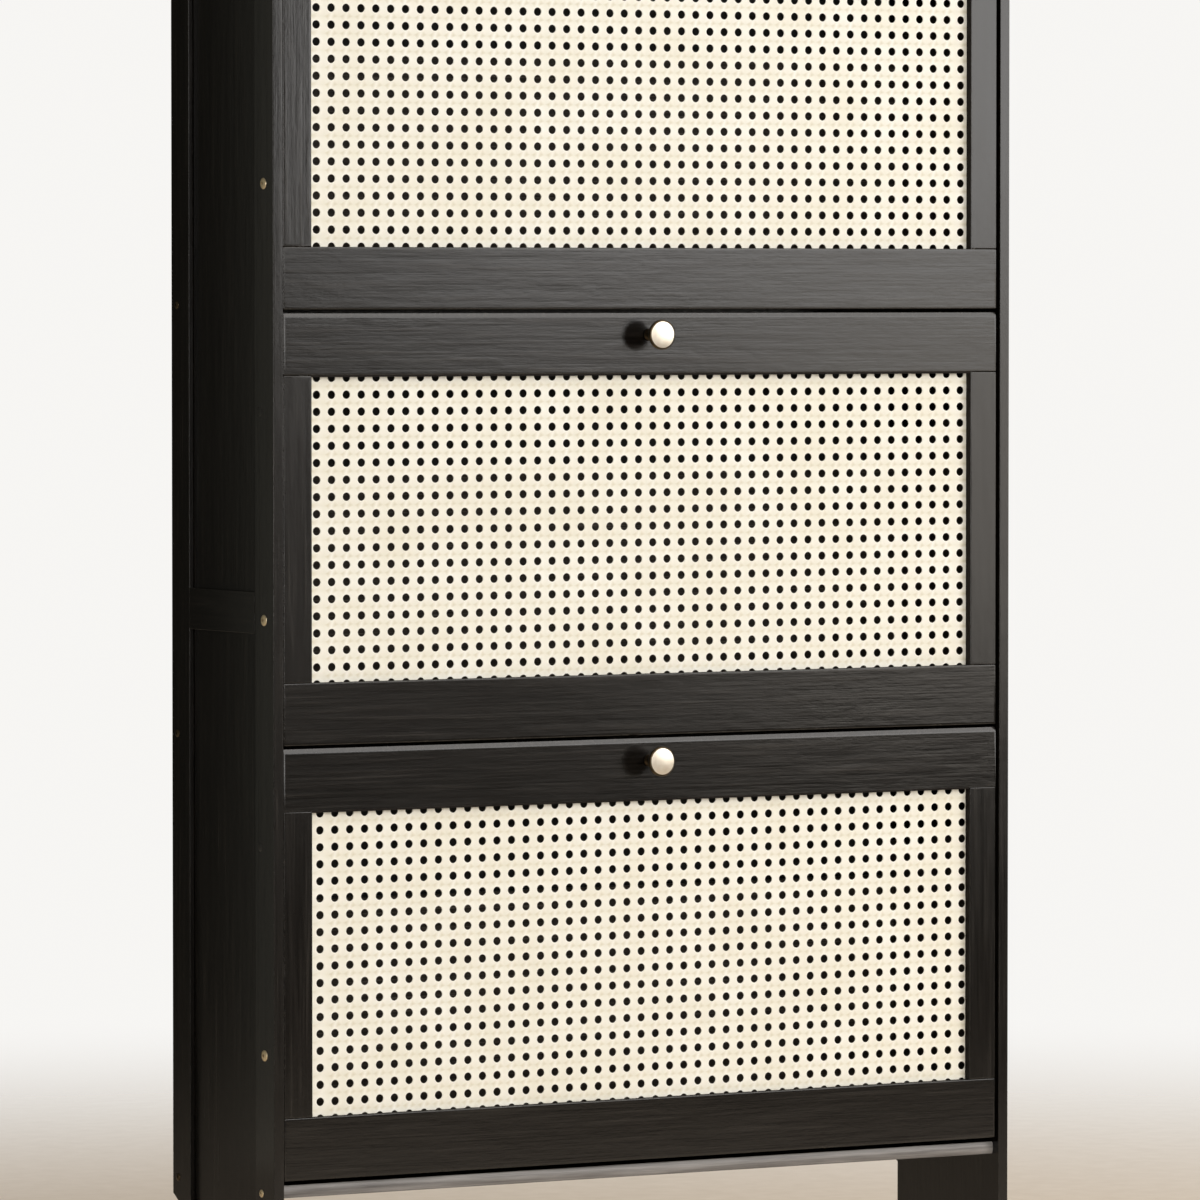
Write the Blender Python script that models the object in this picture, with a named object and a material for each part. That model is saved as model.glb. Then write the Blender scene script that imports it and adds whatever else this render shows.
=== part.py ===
"""Shoe cabinet with three flip-down drawers, as an assembly of separate pieces.

Metres, +Z up. The origin is at the middle of the floor footprint, the drawers
face -Y and the width runs along X. Every drawer turns about its own pivot line,
so its pieces hang under an empty that stands on that line.
"""

import math

import bmesh
import bpy
from mathutils import Matrix

# Overall sizes of the carcass
SIDE_SPAN = 0.694        # outside width over the two sides
SIDE_DEPTH = 0.172       # front edge to back edge of a side
LEG_HEIGHT = 0.138       # floor to the underside of the bottom board
TOP_THICKNESS = 0.015
TOP_OVERHANG = 0.003     # past the sides, and past their front edges
GAP = 0.0003             # between pieces that touch

# Side walls: a plain board with a raised frame on its outer face
BOARD_THICKNESS = 0.0047
FRAME_THICKNESS = 0.0040
FRONT_POST_WIDTH = 0.031
BACK_POST_WIDTH = 0.030
SIDE_RAIL_HEIGHT = 0.033
SIDE_RAIL_CENTRE = 0.602
SKIRTING_DEPTH = 0.016   # notch in the back of each leg
SKIRTING_HEIGHT = 0.118
SKIRTING_SLOPE = 0.010   # height of the slope that closes the notch

# Boards across the carcass
BOTTOM_THICKNESS = 0.010
BOTTOM_RECESS = 0.009
BACK_THICKNESS = 0.003
BACK_RAIL_THICKNESS = 0.0115
BACK_RAIL_HEIGHT = 0.050
BACK_RAIL_DROP = 0.0215  # how far a rail reaches below the joint of two drawers

# Drawer fronts
DRAWERS = ("lower", "middle", "upper")
DRAWER_PITCH = 0.345
DRAWER_GAP = 0.0025
BOTTOM_GAP = 0.004       # between the bottom board and the lowest drawer
SIDE_GAP = 0.0017
FACE_RECESS = 0.0026     # drawer faces behind the front edges of the sides
FRONT_THICKNESS = 0.009
RAIL_HEIGHT = 0.0495
STILE_WIDTH = 0.0255
BEVEL_HEIGHT = 0.0028    # along the upper outer edge of a drawer front
BEVEL_DEPTH = 0.0017
LOWER_ROUND = 0.001      # lower outer edge of a drawer front
PANEL_SETBACK = 0.0060   # woven panel behind the drawer face
PANEL_THICKNESS = 0.002
PANEL_MARGIN = 0.008     # width of the panel that lies in the rebate

# Drawer pivot and stop, measured from the drawer's lower edge and its face
PIVOT_HEIGHT = 0.0995
PIVOT_SETBACK = 0.0128
STOP_HEIGHT = 0.2645
STOP_SETBACK = 0.0195
OPEN_ANGLE = math.radians(38)

# Shoe bucket behind each front
BUCKET_BOARD = 0.009
BUCKET_REAR = 0.136      # pivot line to the back of the bucket
BUCKET_LOW_FRONT = -0.094
BUCKET_LOW_REAR = -0.040
BUCKET_WALL_TOP = 0.112
EAR_REACH = 0.188        # pivot line to the top of the stop ear

# Turned pieces
KNOB_REACH = 0.022
KNOB_RADIUS = 0.0122
KNOB_NECK_RADIUS = 0.0033
KNOB_FACE = 0.0055       # thickness of the knob's disc
KNOB_SHANK_RADIUS = 0.002
KNOB_SHANK_LENGTH = 0.007
KNOB_DROP = 0.018        # below the drawer's upper edge
BOLT_RADIUS = 0.002
BOLT_HEAD_RADIUS = 0.004
BOLT_HEAD_HEIGHT = 0.0012
STOP_RADIUS = 0.0035
ROUND_STEPS = 24
HOLE_STEPS = 24

# Places that follow from the sizes above
BACK_Y = (KNOB_REACH - FACE_RECESS + SIDE_DEPTH) / 2
SIDE_FRONT_Y = BACK_Y - SIDE_DEPTH
FACE_Y = SIDE_FRONT_Y + FACE_RECESS
PIVOT_Y = FACE_Y + PIVOT_SETBACK
SIDE_THICKNESS = BOARD_THICKNESS + GAP + FRAME_THICKNESS
INNER_X = SIDE_SPAN / 2 - SIDE_THICKNESS
FRONT_HALF_WIDTH = INNER_X - SIDE_GAP
BOTTOM_TOP_Z = LEG_HEIGHT + BOTTOM_THICKNESS
FIRST_DRAWER_Z = BOTTOM_TOP_Z + BOTTOM_GAP
TOP_Z = FIRST_DRAWER_Z + len(DRAWERS) * DRAWER_PITCH
FRONT_HEIGHT = DRAWER_PITCH - DRAWER_GAP
BUCKET_HALF_WIDTH = FRONT_HALF_WIDTH - 0.001


def clear_scene():
    """Removes the objects that the file opened with."""
    for thing in list(bpy.data.objects):
        bpy.data.objects.remove(thing)


def material(name, colour, roughness, metallic=0.0):
    """A Principled material with one colour."""
    made = bpy.data.materials.new(name)
    made.use_nodes = True
    shader = made.node_tree.nodes["Principled BSDF"]
    shader.inputs["Base Color"].default_value = (*colour, 1.0)
    shader.inputs["Roughness"].default_value = roughness
    shader.inputs["Metallic"].default_value = metallic
    return made


def add(name, mesh_maker, surface, parent=None, location=(0, 0, 0)):
    """Turns a bmesh into a named object with one material."""
    mesh = bpy.data.meshes.new(name)
    bmesh.ops.recalc_face_normals(mesh_maker, faces=mesh_maker.faces)
    mesh_maker.to_mesh(mesh)
    mesh_maker.free()
    mesh.materials.append(surface)
    thing = bpy.data.objects.new(name, mesh)
    bpy.context.scene.collection.objects.link(thing)
    thing.parent = parent
    thing.location = location
    return thing


def soften(thing, width, segments=2):
    """Rounds the edges of a board by a small amount."""
    bevel = thing.modifiers.new("soft_edges", "BEVEL")
    bevel.width = width
    bevel.segments = segments
    bevel.limit_method = "ANGLE"
    bevel.angle_limit = math.radians(40)


def box(name, low, high, surface, parent=None, soft=0.0008):
    """A board between two corners, with slightly rounded edges."""
    shape = bmesh.new()
    bmesh.ops.create_cube(shape, size=1.0)
    for corner in shape.verts:
        for axis in range(3):
            middle = (low[axis] + high[axis]) / 2
            corner.co[axis] = middle + corner.co[axis] * (high[axis] - low[axis])
    board = add(name, shape, surface, parent)
    if soft:
        soften(board, soft)
    return board


def prism(name, outline, low_x, high_x, surface, parent=None):
    """A board of the given outline, a list of (y, z), with its width along X."""
    shape = bmesh.new()
    corners = [shape.verts.new((low_x, y, z)) for y, z in outline]
    face = shape.faces.new(corners)
    grown = bmesh.ops.extrude_face_region(shape, geom=[face])
    for item in grown["geom"]:
        if isinstance(item, bmesh.types.BMVert):
            item.co.x = high_x
    return add(name, shape, surface, parent)


def turned(name, profile, surface, parent=None, location=(0, 0, 0), along="x"):
    """Spins a profile of (distance, radius) about the X or the Y axis."""
    shape = bmesh.new()
    chain = [shape.verts.new((distance, 0, radius)) for distance, radius in profile]
    for first, second in zip(chain, chain[1:]):
        shape.edges.new((first, second))
    bmesh.ops.spin(
        shape,
        geom=shape.verts[:] + shape.edges[:],
        cent=(0, 0, 0),
        axis=(1, 0, 0),
        angle=math.tau,
        steps=ROUND_STEPS,
    )
    bmesh.ops.remove_doubles(shape, verts=shape.verts[:], dist=1e-6)
    if along == "y":
        quarter_turn = Matrix.Rotation(math.radians(90), 3, "Z")
        bmesh.ops.rotate(shape, verts=shape.verts[:], matrix=quarter_turn)
    piece = add(name, shape, surface, parent, location)
    piece.data.shade_smooth()
    piece.data.set_sharp_from_angle(angle=math.radians(35))
    return piece


def rod_cutter(name, centre, radius, length, parent=None, axis="x"):
    """A round cutter along X or Y, which is no piece of the cabinet."""
    shape = bmesh.new()
    bmesh.ops.create_cone(
        shape,
        cap_ends=True,
        segments=HOLE_STEPS,
        radius1=radius,
        radius2=radius,
        depth=length,
    )
    cutter = add(name, shape, SURFACES["steel"], parent, centre)
    if axis == "x":
        cutter.rotation_euler = (0, math.radians(90), 0)
    else:
        cutter.rotation_euler = (math.radians(90), 0, 0)
    cutter.hide_render = True
    cutter.display_type = "WIRE"
    return cutter


def box_cutter(name, low, high, parent=None):
    """A block-shaped cutter."""
    cutter = box(name, low, high, SURFACES["steel"], parent, soft=0)
    cutter.hide_render = True
    cutter.display_type = "WIRE"
    return cutter


def cut(thing, cutter):
    """Takes the cutter's volume out of a piece."""
    carve = thing.modifiers.new(cutter.name, "BOOLEAN")
    carve.operation = "DIFFERENCE"
    carve.object = cutter


def arc(centre, radius, start, end, steps):
    """Points (y, z) along an arc; angles run from +Y towards +Z."""
    points = []
    for index in range(steps + 1):
        angle = start + (end - start) * index / steps
        y = centre[0] + radius * math.cos(angle)
        z = centre[1] + radius * math.sin(angle)
        points.append((y, z))
    return points


def drawer_base(index):
    """Height of a drawer's lower edge."""
    return FIRST_DRAWER_Z + index * DRAWER_PITCH


def leg_notch(inset):
    """Back edge of a side at the skirting notch, from the floor up, as (y, z)."""
    back = BACK_Y
    return [
        (back - SKIRTING_DEPTH, inset),
        (back - SKIRTING_DEPTH, SKIRTING_HEIGHT),
        (back, SKIRTING_HEIGHT + SKIRTING_SLOPE),
    ]


def side_holes(name, side):
    """Cutters for the pivot bolts and stop pins of one side."""
    sign = -1 if side == "left" else 1
    middle = sign * (INNER_X + SIDE_THICKNESS / 2)
    cutters = []
    for index, drawer in enumerate(DRAWERS):
        base = drawer_base(index)
        pivot = (middle, PIVOT_Y, base + PIVOT_HEIGHT)
        stop = (middle, FACE_Y + STOP_SETBACK, base + STOP_HEIGHT)
        length = 3 * SIDE_THICKNESS
        bolt_hole = f"{name}_{drawer}_bolt_hole"
        pin_hole = f"{name}_{drawer}_pin_hole"
        cutters.append(rod_cutter(bolt_hole, pivot, BOLT_RADIUS + GAP, length))
        cutters.append(rod_cutter(pin_hole, stop, STOP_RADIUS + GAP, length))
    return cutters


def build_side(side):
    """One side wall: the board, and the five pieces of its outer frame."""
    sign = -1 if side == "left" else 1
    inner = sorted((sign * INNER_X, sign * (INNER_X + BOARD_THICKNESS)))
    outer = sorted((sign * (SIDE_SPAN / 2 - FRAME_THICKNESS), sign * SIDE_SPAN / 2))
    height = TOP_Z - GAP
    wood = SURFACES["black_paint"]
    holes = side_holes(f"side_{side}", side)

    outline = [(SIDE_FRONT_Y, 0)] + leg_notch(0)
    outline += [(BACK_Y, height), (SIDE_FRONT_Y, height)]
    board = prism(f"side_{side}_board", outline, *inner, wood)
    soften(board, 0.0006)

    front_edge = SIDE_FRONT_Y + FRONT_POST_WIDTH
    back_edge = BACK_Y - BACK_POST_WIDTH
    front_post = box(
        f"side_{side}_front_post",
        (outer[0], SIDE_FRONT_Y, 0),
        (outer[1], front_edge, height),
        wood,
    )
    outline = [(back_edge, 0)] + leg_notch(0)
    outline += [(BACK_Y, height), (back_edge, height)]
    back_post = prism(f"side_{side}_back_post", outline, *outer, wood)
    soften(back_post, 0.0008)

    rails = {
        "bottom": (0, SIDE_RAIL_HEIGHT),
        "middle": (
            SIDE_RAIL_CENTRE - SIDE_RAIL_HEIGHT / 2,
            SIDE_RAIL_CENTRE + SIDE_RAIL_HEIGHT / 2,
        ),
        "top": (height - SIDE_RAIL_HEIGHT, height),
    }
    for place, (low, high) in rails.items():
        box(
            f"side_{side}_{place}_rail",
            (outer[0], front_edge + GAP, low),
            (outer[1], back_edge - GAP, high),
            wood,
        )
    for hole in holes:
        cut(board, hole)
        cut(front_post, hole)


def build_carcass():
    """The sides, the boards between them and the rails across the back."""
    wood = SURFACES["black_paint"]
    for side in ("left", "right"):
        build_side(side)

    across = INNER_X - GAP
    rail_back = BACK_Y - BACK_THICKNESS - GAP
    rail_front = rail_back - BACK_RAIL_THICKNESS
    box(
        "top_board",
        (-SIDE_SPAN / 2 - TOP_OVERHANG, SIDE_FRONT_Y - TOP_OVERHANG, TOP_Z),
        (SIDE_SPAN / 2 + TOP_OVERHANG, BACK_Y, TOP_Z + TOP_THICKNESS),
        wood,
        soft=0.002,
    )
    box(
        "bottom_board",
        (-across, SIDE_FRONT_Y + BOTTOM_RECESS, LEG_HEIGHT),
        (across, rail_back, BOTTOM_TOP_Z),
        wood,
    )
    box(
        "back_panel",
        (-across, BACK_Y - BACK_THICKNESS, LEG_HEIGHT),
        (across, BACK_Y, TOP_Z - GAP),
        SURFACES["back_board"],
        soft=0,
    )
    for index, place in enumerate(("lower", "middle")):
        low = drawer_base(index + 1) - BACK_RAIL_DROP
        box(
            f"back_rail_{place}",
            (-across, rail_front, low),
            (across, rail_back, low + BACK_RAIL_HEIGHT),
            wood,
        )
    box(
        "back_rail_top",
        (-across, rail_front, TOP_Z - GAP - BACK_RAIL_HEIGHT),
        (across, rail_back, TOP_Z - GAP),
        wood,
    )


def rail_outline(low, high, outer):
    """Section of a front rail as (y, z): bevelled on top, or rounded below."""
    face = -PIVOT_SETBACK
    rear = face + FRONT_THICKNESS
    if outer == "top":
        bevel = [(face, high - BEVEL_HEIGHT), (face + BEVEL_DEPTH, high)]
        return [(face, low)] + bevel + [(rear, high), (rear, low)]
    centre = (face + LOWER_ROUND, low + LOWER_ROUND)
    curve = arc(centre, LOWER_ROUND, 1.5 * math.pi, math.pi, 3)
    return curve + [(face, high), (rear, high), (rear, low)]


def build_front(drawer, hinge):
    """The framed front of one drawer, in coordinates from its pivot line."""
    wood = SURFACES["black_paint"]
    low = -PIVOT_HEIGHT
    high = low + FRONT_HEIGHT
    face = -PIVOT_SETBACK
    rear = face + FRONT_THICKNESS
    open_low = low + RAIL_HEIGHT
    open_high = high - RAIL_HEIGHT
    open_x = FRONT_HALF_WIDTH - STILE_WIDTH
    panel_face = face + PANEL_SETBACK

    outline = rail_outline(open_high, high, "top")
    top = prism(f"{drawer}_front_top_rail", outline,
                -FRONT_HALF_WIDTH, FRONT_HALF_WIDTH, wood, hinge)
    outline = rail_outline(low, open_low, "bottom")
    bottom = prism(f"{drawer}_front_bottom_rail", outline,
                   -FRONT_HALF_WIDTH, FRONT_HALF_WIDTH, wood, hinge)
    rebate = box_cutter(
        f"{drawer}_rebate",
        (-open_x - PANEL_MARGIN, panel_face - GAP, open_low - PANEL_MARGIN),
        (open_x + PANEL_MARGIN, rear + 0.005, open_high + PANEL_MARGIN),
        hinge,
    )
    cut(top, rebate)
    cut(bottom, rebate)
    for side, sign in (("left", -1), ("right", 1)):
        ends = sorted((sign * open_x, sign * FRONT_HALF_WIDTH))
        stile = box(
            f"{drawer}_front_{side}_stile",
            (ends[0], face, open_low + GAP),
            (ends[1], rear, open_high - GAP),
            wood,
            hinge,
            soft=0,
        )
        cut(stile, rebate)

    fit = PANEL_MARGIN - GAP
    box(
        f"{drawer}_woven_panel",
        (-open_x - fit, panel_face, open_low - fit),
        (open_x + fit, panel_face + PANEL_THICKNESS, open_high + fit),
        SURFACES["ivory_weave"],
        hinge,
        soft=0,
    )

    knob_height = high - KNOB_DROP
    bore = rod_cutter(f"{drawer}_knob_bore", (0, face, knob_height),
                      KNOB_SHANK_RADIUS + GAP, 2 * (KNOB_SHANK_LENGTH + GAP),
                      hinge, axis="y")
    cut(top, bore)
    turned(f"{drawer}_knob", knob_profile(), SURFACES["brass"], hinge,
           (0, face, knob_height), along="y")


def knob_profile():
    """Half outline of a knob, from its shank to the middle of its face."""
    neck_end = -KNOB_REACH + KNOB_FACE
    rim = 0.0012
    return [
        (KNOB_SHANK_LENGTH, 0),
        (KNOB_SHANK_LENGTH, KNOB_SHANK_RADIUS),
        (-GAP, KNOB_SHANK_RADIUS),
        (-GAP, 0.0050),
        (-0.0015, 0.0050),
        (-0.0030, KNOB_NECK_RADIUS),
        (neck_end, KNOB_NECK_RADIUS),
        (neck_end, KNOB_RADIUS - rim),
        (neck_end - rim, KNOB_RADIUS),
        (-KNOB_REACH + rim, KNOB_RADIUS),
        (-KNOB_REACH, KNOB_RADIUS - rim),
        (-KNOB_REACH, 0),
    ]


def bucket_side_outline():
    """Side plate as (y, z) from the pivot line.

    Its upper edge is an arc that passes under the stop pin. The ear behind the
    arc meets the pin when the drawer is fully open.
    """
    front = FRONT_THICKNESS - PIVOT_SETBACK + GAP
    pin_y = STOP_SETBACK - PIVOT_SETBACK
    pin_z = STOP_HEIGHT - PIVOT_HEIGHT
    pin_distance = math.hypot(pin_y, pin_z)
    track = pin_distance - STOP_RADIUS - 0.0006
    pin_angle = math.atan2(pin_z, pin_y)
    half_pin = math.asin((STOP_RADIUS + GAP) / pin_distance)
    ear_angle = pin_angle - OPEN_ANGLE - half_pin
    ear_top = (EAR_REACH * math.cos(ear_angle), EAR_REACH * math.sin(ear_angle))
    start = math.acos(front / track)
    upper = arc((0, 0), track, start, ear_angle, 16)
    return (
        [(front, BUCKET_LOW_FRONT)]
        + upper
        + [ear_top, (BUCKET_REAR, ear_top[1]), (BUCKET_REAR, BUCKET_LOW_REAR)]
    )


def build_bucket(drawer, hinge):
    """The shoe bucket: two side plates, a sloping floor and a rear wall."""
    wood = SURFACES["black_paint"]
    plate_inner = BUCKET_HALF_WIDTH - BUCKET_BOARD
    outline = bucket_side_outline()
    for side, sign in (("left", -1), ("right", 1)):
        ends = sorted((sign * plate_inner, sign * BUCKET_HALF_WIDTH))
        plate = prism(f"{drawer}_bucket_{side}_plate", outline, *ends, wood, hinge)
        hole = rod_cutter(f"{drawer}_{side}_plate_hole",
                          (sign * (plate_inner + BUCKET_BOARD / 2), 0, 0),
                          BOLT_RADIUS + GAP, 3 * BUCKET_BOARD, hinge)
        cut(plate, hole)

    between = plate_inner - GAP
    front = FRONT_THICKNESS - PIVOT_SETBACK + GAP
    rear_inner = BUCKET_REAR - BUCKET_BOARD
    slope = (BUCKET_LOW_REAR - BUCKET_LOW_FRONT) / (BUCKET_REAR - front)
    rise = BUCKET_BOARD / math.cos(math.atan(slope))
    floor_end = rear_inner - GAP
    end_height = BUCKET_LOW_FRONT + slope * (floor_end - front)
    floor = [
        (front, BUCKET_LOW_FRONT),
        (floor_end, end_height),
        (floor_end, end_height + rise),
        (front, BUCKET_LOW_FRONT + rise),
    ]
    prism(f"{drawer}_bucket_floor", floor, -between, between, wood, hinge)
    box(
        f"{drawer}_bucket_rear_wall",
        (-between, rear_inner, BUCKET_LOW_REAR),
        (between, BUCKET_REAR, BUCKET_WALL_TOP),
        wood,
        hinge,
    )


def build_fasteners(index, drawer):
    """Pivot bolts and stop pins of one drawer, which stay in the sides."""
    base = drawer_base(index)
    outside = SIDE_SPAN / 2
    plate_inner = BUCKET_HALF_WIDTH - BUCKET_BOARD
    pivot_profile = [
        (plate_inner - outside, 0),
        (plate_inner - outside, BOLT_RADIUS),
        (GAP, BOLT_RADIUS),
        (GAP, BOLT_HEAD_RADIUS),
        (GAP + BOLT_HEAD_HEIGHT / 2, BOLT_HEAD_RADIUS),
        (GAP + BOLT_HEAD_HEIGHT, 0.6 * BOLT_HEAD_RADIUS),
        (GAP + BOLT_HEAD_HEIGHT, 0),
    ]
    stop_profile = [
        (plate_inner - outside, 0),
        (plate_inner - outside, STOP_RADIUS),
        (-0.0003, STOP_RADIUS),
        (-0.0003, 0),
    ]
    for side, sign in (("left", -1), ("right", 1)):
        pieces = (
            (f"{drawer}_{side}_pivot_bolt", pivot_profile, "brass",
             (sign * outside, PIVOT_Y, base + PIVOT_HEIGHT)),
            (f"{drawer}_{side}_stop_pin", stop_profile, "black_plastic",
             (sign * outside, FACE_Y + STOP_SETBACK, base + STOP_HEIGHT)),
        )
        for name, profile, surface, place in pieces:
            mirrored = [(sign * distance, radius) for distance, radius in profile]
            turned(name, mirrored, SURFACES[surface], None, place)


def build_drawer(index, drawer):
    """One flip-down drawer under an empty on its pivot line."""
    hinge = bpy.data.objects.new(f"{drawer}_hinge", None)
    bpy.context.scene.collection.objects.link(hinge)
    hinge.location = (0, PIVOT_Y, drawer_base(index) + PIVOT_HEIGHT)
    build_front(drawer, hinge)
    build_bucket(drawer, hinge)
    build_fasteners(index, drawer)


clear_scene()
SURFACES = {
    "black_paint": material("black_paint", (0.020, 0.020, 0.018), 0.45),
    "back_board": material("back_board", (0.030, 0.029, 0.027), 0.60),
    "ivory_weave": material("ivory_weave", (0.86, 0.80, 0.66), 0.55),
    "brass": material("brass", (0.80, 0.66, 0.42), 0.30, 1.0),
    "black_plastic": material("black_plastic", (0.012, 0.012, 0.012), 0.40),
    "steel": material("steel", (0.60, 0.60, 0.60), 0.35, 1.0),
}
build_carcass()
for position, drawer_name in enumerate(DRAWERS):
    build_drawer(position, drawer_name)
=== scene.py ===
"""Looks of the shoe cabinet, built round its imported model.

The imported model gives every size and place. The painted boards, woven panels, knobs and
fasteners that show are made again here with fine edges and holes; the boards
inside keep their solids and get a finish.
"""

import math

import bmesh
import bpy
from mathutils import Matrix, Vector


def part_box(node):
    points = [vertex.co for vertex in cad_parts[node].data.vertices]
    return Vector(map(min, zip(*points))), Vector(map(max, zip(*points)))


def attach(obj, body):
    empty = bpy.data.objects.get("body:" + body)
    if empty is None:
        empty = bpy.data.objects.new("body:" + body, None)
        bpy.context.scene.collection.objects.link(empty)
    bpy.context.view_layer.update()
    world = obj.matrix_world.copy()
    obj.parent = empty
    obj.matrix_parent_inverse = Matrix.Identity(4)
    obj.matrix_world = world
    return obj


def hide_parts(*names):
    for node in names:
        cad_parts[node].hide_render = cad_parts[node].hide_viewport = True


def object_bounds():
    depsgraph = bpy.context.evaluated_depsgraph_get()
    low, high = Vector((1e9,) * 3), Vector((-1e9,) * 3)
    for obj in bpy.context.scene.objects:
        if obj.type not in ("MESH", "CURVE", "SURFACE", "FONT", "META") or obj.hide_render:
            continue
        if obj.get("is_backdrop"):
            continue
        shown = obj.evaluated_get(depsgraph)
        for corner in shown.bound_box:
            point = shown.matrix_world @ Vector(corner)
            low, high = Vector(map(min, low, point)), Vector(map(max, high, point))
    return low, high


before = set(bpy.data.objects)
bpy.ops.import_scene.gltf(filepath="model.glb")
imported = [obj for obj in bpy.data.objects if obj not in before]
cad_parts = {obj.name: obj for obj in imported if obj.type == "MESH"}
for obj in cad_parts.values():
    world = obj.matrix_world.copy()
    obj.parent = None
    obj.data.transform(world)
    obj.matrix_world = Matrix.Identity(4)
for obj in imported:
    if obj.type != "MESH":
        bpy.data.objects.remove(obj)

CAD_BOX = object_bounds()

DRAWERS = ("lower", "middle", "upper")
SIDES = {"left": -1, "right": 1}
MM = 0.001

# Painted boards
EDGE_RADIUS = 0.7 * MM
TOP_EDGE_RADIUS = 2.0 * MM
STRIP_EDGE_RADIUS = 0.35 * MM     # on the thin strips of a side's raised frame
WEAR_BAND = 1.4 * MM              # how far the wear reaches in from an edge
SHARP = math.radians(50)          # edges at least this sharp are rounded
SAME_PLANE = 0.9999               # least cosine between the normals of faces in one plane

# The front posts, whose lip covers the front edge of the side board
LIP_PROUD = 0.2 * MM
LIP_DEPTH = 0.8 * MM
POST_EDGE_RADIUS = 0.4 * MM
POST_WEAR_BAND = 1.0 * MM

# The notch for a skirting board, at the foot of each back post
NOTCH_DEPTH = 16 * MM
NOTCH_TOP = 118 * MM
NOTCH_SLOPE = 10 * MM

# The grey strip on the front edge of the bottom board
STRIP_BULGE = 1.5 * MM
STRIP_FRONT = 0.3 * MM            # from the board's edge back to the ends of the bulge
STRIP_BACK = 0.8 * MM
STRIP_STEPS = 4                   # on each half of the bulge

# Woven panels
PITCH = 13.5 * MM                 # from hole to hole, both ways
HOLE_RADIUS = 3.35 * MM
HOLE_ROOM = 1.2 * MM              # least webbing between a whole hole and the sheet's edge
WEBBING_THICKNESS = 1.3 * MM
# How far each panel's grid of holes lies off the middle of its opening, along X and Z
GRID_SHIFTS = {
    "upper": (0.7 * MM, 0.0),
    "middle": (0.6 * MM, -1.7 * MM),
    "lower": (3.2 * MM, -2.1 * MM),
}
# Thickness of the strip of painted shade round an opening, at its sides, top and bottom; thickest
# along the top, where it stands in for the shadow under the rail
SHADE_LINING = 0.4 * MM
SHADE_LINING_TOP = 1.4 * MM
SHADE_LINING_BOTTOM = 0.15 * MM
SHADE_LINING_SHIFT = 0.2 * MM           # how far it lies behind the frame's edge and the webbing's

# Knobs: (distance behind the drawer's face, radius) in millimetres
KNOB_STEM = (
    (4.9, 0), (4.9, 1.8), (-0.35, 1.8),                          # shank, in its hole
    (-0.35, 4.8), (-1.0, 5.0), (-1.6, 4.7), (-2.4, 3.9),         # flared foot
    (-3.6, 3.4), (-9.0, 3.3),                                    # neck
)
KNOB_FLARE = ((3.2, 3.5), (1.2, 4.4), (0.3, 6.2), (0.0, 8.0))    # behind the disc's back
KNOB_DISC = 3.6 * MM              # thickness of the disc
KNOB_ROLL = 1.5 * MM              # rounding of its rim
KNOB_SINK = 0.5 * MM              # depth of the recess for the bright face
# The bright face: (distance behind the disc's front, distance in from the recess's wall)
# in millimetres, from its hidden back to its front
KNOB_FACE = ((0.80, 0.06), (0.25, 0.06), (0.10, 0.12), (0.04, 0.31))
KNOB_FACE_MIDDLE = 0.03 * MM      # the same distance at the face's middle

# Fasteners
BOLT_HEAD = (4.5 * MM, 1.3 * MM, 2.5 * MM)       # radius, height, socket across its flats
BOLT_SHANK = 2.0 * MM
BOLT_HEAD_IN_MODEL = 1.5 * MM
SCREW_HEAD = (3.2 * MM, 0.9 * MM, 2.0 * MM)
SCREW_SHANK = 1.6 * MM
SCREW_LENGTH = 18 * MM
SCREW_LEVEL = 3.5 * MM            # the front screws' height in the bottom board
SCREW_SETBACK = 5.5 * MM          # how far they lie behind the pivot bolts
HEAD_FLAT = 0.35                  # share of a head's radius that its dome leaves flat
SOCKET_FLOOR = 0.2                # its depth behind the surface, in heights of the head
SOCKET_TAPER = 0.94               # width of the socket at its floor
PIN_RADIUS = 3.5 * MM
PIN_END = 0.4 * MM                # how much slimmer a pin's inner end is
PIN_BEVEL = 0.5 * MM              # length of the slope there
PIN_HEAD = ((0.0, 3.5), (-0.25, 3.2), (-0.5, 2.2), (-0.55, 0))
NAIL = ((1.0, 0), (1.0, 1.0), (0.0, 1.0), (0.0, 2.2), (-0.25, 2.0), (-0.4, 1.2), (-0.42, 0))
NAIL_INSET = 5 * MM
NAILS_UP = 8
NAILS_ACROSS = 5

# Camera and room
VIEW_AZIMUTH = math.radians(30.6)
VIEW_DROP = math.radians(2.135)
VIEW_DISTANCE = 6.662
VIEW_HEIGHT = 0.8555
VIEW_OFFSET = -0.0425             # where the view's middle line meets the woven panels
LENS = 247.4
SENSOR = 36.0
FLOOR_SOLID = 0.7                 # the floor fades out from here
FLOOR_RADIUS = 3.0

WARM = (1.0, 0.97, 0.94)
DAYLIGHT = (1.0, 0.98, 0.96)
LOW_SUN = (1.0, 0.93, 0.84)
WALL = (1.0, 0.98, 0.82)
MIDDLE = (0, -0.05, 0.75)
# name: place, target, width, height, power, colour
LIGHTS = {
    "window": ((2.45, -3.05, 1.62), (0, -0.07, 1.62), 2.05, 1.5, 42, DAYLIGHT),
    "low_window": ((2.65, -2.90, 0.60), (0, -0.07, 0.60), 1.5, 0.52, 6.4, LOW_SUN),
    "low_glow": ((1.55, -3.55, 0.56), (0, -0.07, 0.56), 0.95, 0.7, 0.8, LOW_SUN),
    "key": ((2.5, -2.9, 4.1), MIDDLE, 4.0, 3.6, 150, WARM),
    "fill": ((-1.1, -4.9, 1.6), MIDDLE, 2.8, 2.6, 132, WARM),
    "wall_glow": ((-0.95, 0.04, 1.02), (-0.44, -0.82, 1.02), 1.0, 1.8, 1.0, WALL),
    "back_fill": ((1.5, 2.6, 4.2), (0, 0.1, 0.7), 3.0, 2.4, 90, WARM),
}
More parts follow.
